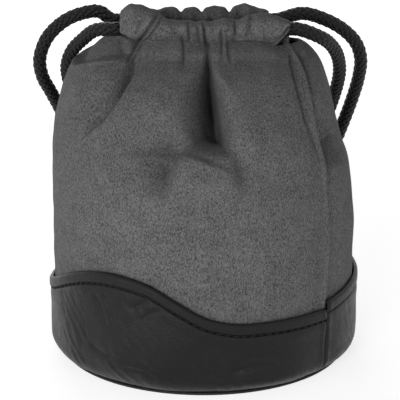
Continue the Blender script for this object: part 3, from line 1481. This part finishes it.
@dataclass
class LeatherBase:
    """Leather base: two stitched bands round the foot, the sole, and the padded floor inside.

    Attributes:
        radius: Outer radius of the bands.
        thickness: Thickness of the turned edge.
        edge_round: Height of the edge's rounding.
        bottom: Height of the bands' underside.
        corner: Radius of the rounded lower corner.
        turn_in: Width that is turned in under the base.
        seam: Angle of the right seam.
        edge_relief: Share of the relief on the rounded edge.
        strip: Height, middle below the edge and half width of the flat strip along the edge.
        groove: Depth and half width of the stitch groove.
        puff: Height, middle below the edge and half width of the swell below the groove.
        seam_puff: Height, distance from the seam and half width of the swell beside a seam.
        seam_dip: Depth and half width of the dip in a seam.
        uneven: Height of the hide's slow unevenness.
        streaks: Height of its slanting streaks.
        stitch_drop: Distance of the stitch line below the edge.
        stitch_pitch: Distance from stitch to stitch.
        stitch_half: Half length of a stitch.
        stitch_girth: Half width of a stitch.
        stitch_flat: Depth of a stitch over its width.
        stitch_sink: Depth of the stitches' ends in their groove.
        stitch_bow: How far the middle of a stitch stands above its ends.
        stitch_slant: How far an end stands off the stitch line.
        sole_radius: Radius of the sole.
        sole_thickness: Thickness of the sole.
        sole_round: Reach of the sole's rounded rim.
    """

    radius: float = 60.0
    thickness: float = 1.5
    edge_round: float = 0.9
    bottom: float = 1.4
    corner: float = 6.5
    turn_in: float = 3.5
    seam: float = SEAM_ANGLE
    edge_relief: float = 0.6
    strip: tuple[float, float, float] = (0.45, 2.3, 1.95)
    groove: tuple[float, float] = (0.85, 0.44)
    puff: tuple[float, float, float] = (0.22, 7.2, 2.0)
    seam_puff: tuple[float, float, float] = (0.25, 1.7, 1.2)
    seam_dip: tuple[float, float] = (0.4, 0.5)
    uneven: float = 0.34
    streaks: float = 0.15
    stitch_drop: float = 4.5
    stitch_pitch: float = 3.2
    stitch_half: float = 1.28
    stitch_girth: float = 0.38
    stitch_flat: float = 0.8
    stitch_sink: float = 0.66
    stitch_bow: float = 0.42
    stitch_slant: float = 0.12
    sole_radius: float = 55.4
    sole_thickness: float = 1.3
    sole_round: float = 0.9

    # Step of the tables, columns of a band, half gap at its seams, sides of a stitch and of a disc, and a disc's hole.
    TABLE_STEP = 0.5
    COLUMNS = 420
    SEAM_GAP = 0.05
    STITCH_SIDES = 8
    DISC_SIDES = 160
    HUB = 0.05

    FRONT_EDGE = (
        (-131, 28), (-110, 27.6), (-90, 28.6), (-78, 31.5), (-66, 36.0), (-56, 40.2), (-46, 43.6), (-36, 45.2),
        (-28, 45.0), (-18.7, 42.8), (-8, 36.8), (0.5, 32.0), (11, 29.2), (24, 28.6), (36, 28.3), (51, 28.0),
    )
    REAR_EDGE = (
        (49, 30.4), (59, 31.3), (75, 32.3), (90, 32.7), (105, 33.5), (125, 35.2), (150, 36.2), (180, 35.0),
        (210, 32.0), (231, 30.4),
    )
    FRONT_CREASES = (
        Fold(((-27, 33), (-22, 36.5), (-18, 38.0)), 0.6, 1.2, 1.2),
        Fold(((-24, 29), (-19, 33), (-14, 35)), 0.5, 1.0, 1.4),
        Fold(((-44, 37), (-40, 30), (-37, 24)), 0.6, 0.9, 1.2),
        Fold(((-40, 38), (-36, 32), (-34, 27)), 0.55, 0.8, 1.0),
        Fold(((8, 9.5), (16, 12), (25, 12.5)), 0.7, 1.6, 1.2),
        Fold(((14, 15), (21, 16), (29, 15)), 0.6, 1.2, 1.2),
        Fold(((2, 12), (5, 8.5), (9, 7)), 0.55, 1.0, 1.0),
        Fold(((-48, 16), (-38, 14), (-30, 16)), 0.6, 1.5, 1.2),
        Fold(((-36, 10), (-28, 12), (-18, 11)), 0.5, 1.2, 1.0),
    )

    @staticmethod
    def swell(arc: Array, height: Array) -> Array:
        """Soft swells of the hide over the padding, on the front's left and low on its right.

        Args:
            arc: Places along the unrolled band.
            height: Heights.

        Returns:
            Offset outwards, in millimetres.
        """
        left = bell(arc, -28.0, 17.0) * bell(height, 13.0, 18.0) * smooth(height, 2.0, 12.0)
        right = bell(arc, 24.0, 13.0) * bell(height, 5.0, 9.0) * smooth(height, 1.5, 6.0)
        return 2.7 * left + 1.3 * right

    @staticmethod
    def around(radius: Array, angle: Array, height: Array) -> Array:
        """Points about the pouch's axis, from radii, angles in radians and heights."""
        return np.stack([radius * np.sin(angle), -radius * np.cos(angle), height], axis=-1)

    def section(self, top: Array) -> tuple[Array, ...]:
        """Section of a band, from its turned-in foot up the wall and over its edge.

        Args:
            top: Height of the upper edge in each column.

        Returns:
            Rows of radii, heights and shares of the relief.
        """
        foot = self.bottom + self.corner
        inner = self.radius - self.corner
        rim = top - self.edge_round
        half = self.thickness / 2
        rows = [(inner + step, self.bottom, 0.0) for step in np.linspace(-self.turn_in, 0.0, 4, endpoint=False)]
        for turn in np.linspace(0.0, math.pi / 2, 14, endpoint=False):
            height = self.bottom + self.corner * (1.0 - math.cos(turn))
            rows.append((inner + self.corner * math.sin(turn), height, 1.0))
        rows += [(self.radius, foot + (rim - foot) * share, 1.0) for share in np.linspace(0.0, 1.0, 120)]
        for turn in np.linspace(0.0, math.pi, 9)[1:]:
            height = rim + self.edge_round * math.sin(turn)
            share = self.edge_relief if turn < 0.8 * math.pi else 0.0
            rows.append((self.radius - half + half * math.cos(turn), height, share))
        rows += [(self.radius - self.thickness, rim - drop, 0.0) for drop in (1.5, 4.0, 8.0)]
        return table_rows(rows, top.shape)

    def relief(self, arc: Array, height: Array, below: Array, ends: Array) -> Array:
        """Relief of a band's sewn edge, of its seams and of the hide.

        Args:
            arc: Places along the unrolled band.
            height: Heights.
            below: Distances below the upper edge.
            ends: Distances from the nearer seam.

        Returns:
            Offset outwards, in millimetres.
        """
        result = -self.groove[0] * bell(below, self.stitch_drop, self.groove[1])
        result += self.strip[0] * bell(below, *self.strip[1:], power=6)
        result += self.puff[0] * bell(below, *self.puff[1:])
        result += self.seam_puff[0] * bell(ends, *self.seam_puff[1:])
        result -= self.seam_dip[0] * bell(ends, 0.0, self.seam_dip[1])
        result += self.swell(arc, height)
        place = np.stack([arc, height, np.zeros(arc.shape)], axis=-1)
        result += self.uneven * soft_noise(place, 26.0, 31) * smooth(below, 2.0, 9.0)
        slanted = np.stack([0.9 * arc + 0.5 * height, 0.45 * height, np.zeros(arc.shape)], axis=-1)
        streaked = smooth(below, 4.0, 9.0) * smooth(soft_noise(place, 30.0, 36), -0.3, 0.6)
        return result + self.streaks * soft_noise(slanted, 3.4, 33) * streaked

    def band(self, name: str, table: Table, start: float, creases: Sequence[Fold]) -> None:
        """One leather band with its turned edge, its stitch groove and its stitches.

        Args:
            name: Name of the CAD node that the band stands for.
            table: Upper edge as points (angle, height).
            start: Angle of its left seam.
            creases: Creases of the hide, drawn on the unrolled band.
        """
        margin = math.degrees(self.SEAM_GAP / self.radius)
        angles = np.linspace(start + margin, start + 180.0 - margin, self.COLUMNS)
        top = read_table(table, angles, self.TABLE_STEP)
        radius, height, share = self.section(top)
        turn = np.radians(np.broadcast_to(angles, radius.shape))
        arc = turn * self.radius
        ends = np.minimum(arc - arc[:, :1], arc[:, -1:] - arc)
        relief = self.relief(arc, height, top - height, ends) + all_folds(creases, arc, height)
        points = self.around(radius + relief * share, turn, height)
        faces = grid_faces(*radius.shape)
        piece = new_piece(f"{name}_leather", points, faces, Body.POUCH, LEATHER, "leather")
        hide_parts(name)
        self.stitches(name, table, start)

    def stitches(self, name: str, table: Table, start: float) -> None:
        """Row of lockstitches in a band's groove.

        Args:
            name: Name of the band.
            table: Upper edge as points (angle, height).
            start: Angle of the band's left seam.
        """
        angles = np.linspace(start + 1.0, start + 179.0, 900)
        heights = read_table(table, angles, self.TABLE_STEP) - self.stitch_drop
        line = np.stack([np.radians(angles) * self.radius, heights], axis=1)
        even = spline(line[::6], self.stitch_pitch)
        heading = np.gradient(even, axis=0)
        heading /= np.linalg.norm(heading, axis=1, keepdims=True)
        turns = np.arange(self.STITCH_SIDES) * 2 * math.pi / self.STITCH_SIDES
        along = np.linspace(-1.0, 1.0, 7)
        faces = tube_faces(len(along), self.STITCH_SIDES, flip=True)
        parts = Parts()
        for middle, way in zip(even, heading):
            across = np.array([-way[1], way[0]])
            rings = []
            for step in along:
                girth = self.stitch_girth * math.sqrt(max(1.0 - abs(step) ** 3, 0.02))
                slant = way * step * self.stitch_half + across * self.stitch_slant * step
                flat = middle + slant + across * (np.cos(turns) * girth)[:, None]
                lift = self.stitch_bow * (1.0 - step * step) - self.stitch_sink + self.swell(flat[:, 0], flat[:, 1])
                out = self.radius + lift + np.sin(turns) * girth * self.stitch_flat
                rings.append(self.around(out, flat[:, 0] / self.radius, flat[:, 1]))
            parts.add(np.vstack(rings), faces)
        new_piece(f"{name}_stitches", *parts.joined(), Body.POUCH, THREAD, "leather")

    @staticmethod
    def rounded(middle: tuple[float, float], half: tuple[float, float], start: float, count: int) -> Table:
        """Points (radius, height) of a disc's rounded rim about its middle, downwards from a start angle."""
        turns = np.linspace(start, math.pi - start, count)
        return tuple((middle[0] + half[0] * math.sin(t), middle[1] + half[1] * math.cos(t)) for t in turns)

    def disc(
        self, name: str, node: str, profile: Sequence[tuple[float, float]], finish: Finish, slot: str
    ) -> bpy.types.Object:
        """Round piece turned about Z.

        Args:
            name: Name of the piece.
            node: CAD node that it stands for.
            profile: Points (radius, height) from the middle of its top over the rim to the middle of its underside.
            finish: Finish of the piece.
            slot: Material slot of the record.

        Returns:
            The piece.
        """
        turn = np.arange(self.DISC_SIDES) * 2 * math.pi / self.DISC_SIDES
        line = np.asarray(profile, dtype=float)
        radius, angle = np.meshgrid(line[:, 0], turn, indexing="ij")
        height = np.broadcast_to(line[:, 1][:, None], radius.shape)
        faces = grid_faces(len(line), self.DISC_SIDES, ring=True, flip=True)
        piece = new_piece(name, self.around(radius, angle, height), faces, Body.POUCH, finish, slot)
        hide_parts(node)
        return piece

    def sole(self) -> None:
        """Sole with a rounded rim and a pressed ring on its underside."""
        rim = self.sole_radius - self.sole_round
        top = self.sole_thickness
        ring, ring_depth, ring_width = 51.5, 0.28, 0.6
        profile = [(self.HUB, top)] + [(r, top) for r in np.linspace(4, rim, 14)]
        profile += self.rounded((rim, top / 2), (self.sole_round, top / 2), 0.2, 9)
        under = np.linspace(rim, self.HUB, 90)
        profile += [(r, ring_depth * bell(r, ring, ring_width)) for r in under]
        self.disc("sole_leather", "sole", profile, SOLE, "leather")

    def inside(self) -> None:
        """Board, padded floor and its lining."""
        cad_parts["base_board"].data.materials.clear()
        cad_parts["base_board"].data.materials.append(BOARD.material())
        foot, thick, rim, reach = 3.9, 6.0, self.radius - self.corner, 2.2
        profile = [(r, foot + thick - 0.15 * (r / rim) ** 4) for r in np.linspace(self.HUB, rim - reach, 24)]
        profile += self.rounded((rim - reach, foot + thick / 2), (reach, thick / 2 - 0.1), 0.15, 12)
        profile += [(r, foot) for r in np.linspace(rim - 2.4, self.HUB, 12)]
        pad = self.disc("base_pad_foam", "base_pad", profile, FOAM, "padding")
        floor, sheet, edge, reach = 10.2, 0.8, 55.5, 1.0
        rings = np.linspace(self.HUB, edge - reach, 60)
        profile = [(r, floor + sheet + 0.25 * math.cos(2 * math.pi * r / 11.0)) for r in rings]
        profile += self.rounded((edge - reach, floor + sheet / 2), (reach, sheet / 2), 0.2, 7)
        profile += [(r, floor) for r in np.linspace(edge - 1.2, self.HUB, 10)]
        cloth = self.disc("lining_floor_knit", "lining_floor", profile, LINING, "lining")

    def build(self) -> None:
        """Makes the bands, the sole and the inside."""
        self.band("front_band", self.FRONT_EDGE, self.seam - 180.0, self.FRONT_CREASES)
        self.band("rear_band", self.REAR_EDGE, self.seam, ())
        self.sole()
        self.inside()


@dataclass(frozen=True)
class Lamp:
    """One soft square lamp.

    Attributes:
        name: Name of the lamp.
        place: Where it stands, in metres.
        size: Width of the lamp, in metres.
        power: Power in watts.
    """

    name: str
    place: tuple[float, float, float]
    size: float
    power: float


@dataclass
class Studio:
    """Camera, floor and plain soft light.

    Attributes:
        target: Point that the camera looks at, in metres.
        distance: Distance of the camera from it.
        elevation: Height angle of the camera, in degrees.
        lens: Focal length on a 36 mm sensor.
        shift: Shift of the frame, in frame widths.
        plain_light: Strength of the surroundings as light.
        white: Strength of the surroundings where they are seen.
        floor_white: Strength of the floor where it is seen.
        floor_light: Strength of the floor as light.
        floor_reach: Half width of the floor.
        floor_drop: Distance of the floor below the sole.
    """

    target: tuple[float, float, float] = (0.0, 0.0, 0.065)
    distance: float = 0.65
    elevation: float = 16.0
    lens: float = 150.7
    shift: tuple[float, float] = (-0.00875, -0.0394)
    plain_light: float = 0.12
    white: float = 1.0
    floor_white: float = 0.75
    floor_light: float = 0.5
    floor_reach: float = 3.0
    floor_drop: float = 0.0002

    SENSOR = 36.0
    LAMPS = (
        Lamp("key", (-0.36, -1.14, 0.32), 0.44, 4.5),
        Lamp("side", (-0.95, -0.7, 0.14), 0.4, 2.4),
        Lamp("fill", (0.85, -0.85, 0.18), 0.36, 1.0),
        Lamp("top", (-0.1, 0.3, 1.15), 0.9, 0.4),
        Lamp("back", (-0.2, 1.1, 0.5), 0.6, 3.2),
    )

    def camera(self) -> None:
        """Places the camera at the photograph's viewing angle."""
        data = bpy.data.cameras.new("camera")
        data.lens = self.lens
        data.sensor_width = self.SENSOR
        data.shift_x, data.shift_y = self.shift
        data.clip_start, data.clip_end = 0.05, 20.0
        camera = bpy.data.objects.new("camera", data)
        tilt = math.radians(self.elevation)
        camera.location = Vector(self.target) + self.distance * Vector((0.0, -math.cos(tilt), math.sin(tilt)))
        self.aim(camera)
        bpy.context.scene.camera = camera

    def aim(self, thing: bpy.types.Object) -> None:
        """Turns a camera or a lamp to the target and puts it into the scene."""
        thing.rotation_euler = (Vector(self.target) - thing.location).to_track_quat("-Z", "Y").to_euler()
        bpy.context.scene.collection.objects.link(thing)

    def light(self, lamp: Lamp) -> None:
        """Places a lamp that faces the pouch.

        Args:
            lamp: The lamp.
        """
        data = bpy.data.lights.new(lamp.name, "AREA")
        data.shape = "SQUARE"
        data.size = lamp.size
        data.energy = lamp.power
        placed = bpy.data.objects.new(lamp.name, data)
        placed.location = lamp.place
        self.aim(placed)

    @staticmethod
    def in_sight(nodes: Nodes) -> bpy.types.NodeSocket:
        """Mask of the rays that show the background: the camera's, and those through glass or off gloss.

        Args:
            nodes: Node tree that takes the mask.

        Returns:
            Socket that is 1 for such rays and 0 for the rest.
        """
        sight = nodes.add("ShaderNodeLightPath")
        seen = nodes.math("MAXIMUM", sight.outputs["Is Camera Ray"], sight.outputs["Is Transmission Ray"])
        return nodes.math("MAXIMUM", seen, sight.outputs["Is Glossy Ray"])

    def surroundings(self) -> None:
        """White surroundings for the camera and for gloss, and even grey light for the rest."""
        world = bpy.data.worlds.new("studio")
        bpy.context.scene.world = world
        world.use_nodes = True
        nodes = Nodes(world.node_tree)
        world.node_tree.nodes.clear()
        seen = self.in_sight(nodes)
        plain = nodes.feed(nodes.add("ShaderNodeBackground"), Color=grey(1.0), Strength=self.plain_light)
        white = nodes.feed(nodes.add("ShaderNodeBackground"), Color=grey(1.0), Strength=self.white)
        mix = nodes.add("ShaderNodeMixShader")
        nodes.join(seen, mix.inputs[0])
        nodes.join(plain.outputs[0], mix.inputs[1])
        nodes.join(white.outputs[0], mix.inputs[2])
        nodes.join(mix.outputs[0], nodes.add("ShaderNodeOutputWorld").inputs[0])

    def floor(self) -> None:
        """Pale floor that is white to the camera and keeps the pouch's soft shadow."""
        mesh = bpy.data.meshes.new("floor")
        ways = ((-1, -1), (1, -1), (1, 1), (-1, 1))
        corners = [(x * self.floor_reach, y * self.floor_reach, -self.floor_drop) for x, y in ways]
        mesh.from_pydata(corners, [], [(0, 1, 2, 3)])
        floor = bpy.data.objects.new("floor", mesh)
        bpy.context.scene.collection.objects.link(floor)
        material = bpy.data.materials.new("floor")
        material.use_nodes = True
        nodes = Nodes(material.node_tree)
        shader = material.node_tree.nodes["Principled BSDF"]
        shader.inputs["Base Color"].default_value = grey(0.9)
        shader.inputs["Roughness"].default_value = 1.0
        shader.inputs["Specular IOR Level"].default_value = 0.0
        seen = nodes.math("MULTIPLY", self.in_sight(nodes), self.floor_white)
        shine = nodes.math("MAXIMUM", seen, self.floor_light)
        shader.inputs["Emission Color"].default_value = grey(1.0)
        nodes.join(shine, shader.inputs["Emission Strength"])
        mesh.materials.append(material)

    def build(self) -> None:
        """Sets the view and lights the scene."""
        bpy.context.scene.view_settings.view_transform = "Standard"
        self.camera()
        self.surroundings()
        self.floor()
        for lamp in self.LAMPS:
            self.light(lamp)


def main() -> None:
    """Builds the pouch piece by piece."""
    logging.basicConfig(level=logging.INFO, format="%(name)s: %(message)s")
    Studio().build()
    Cords().build()
    front, rear = SuedeBag().build()
    front_hem().build(front)
    rear_hem().build(rear)
    LeatherBase().build()


if __name__ == "__main__":
    main()
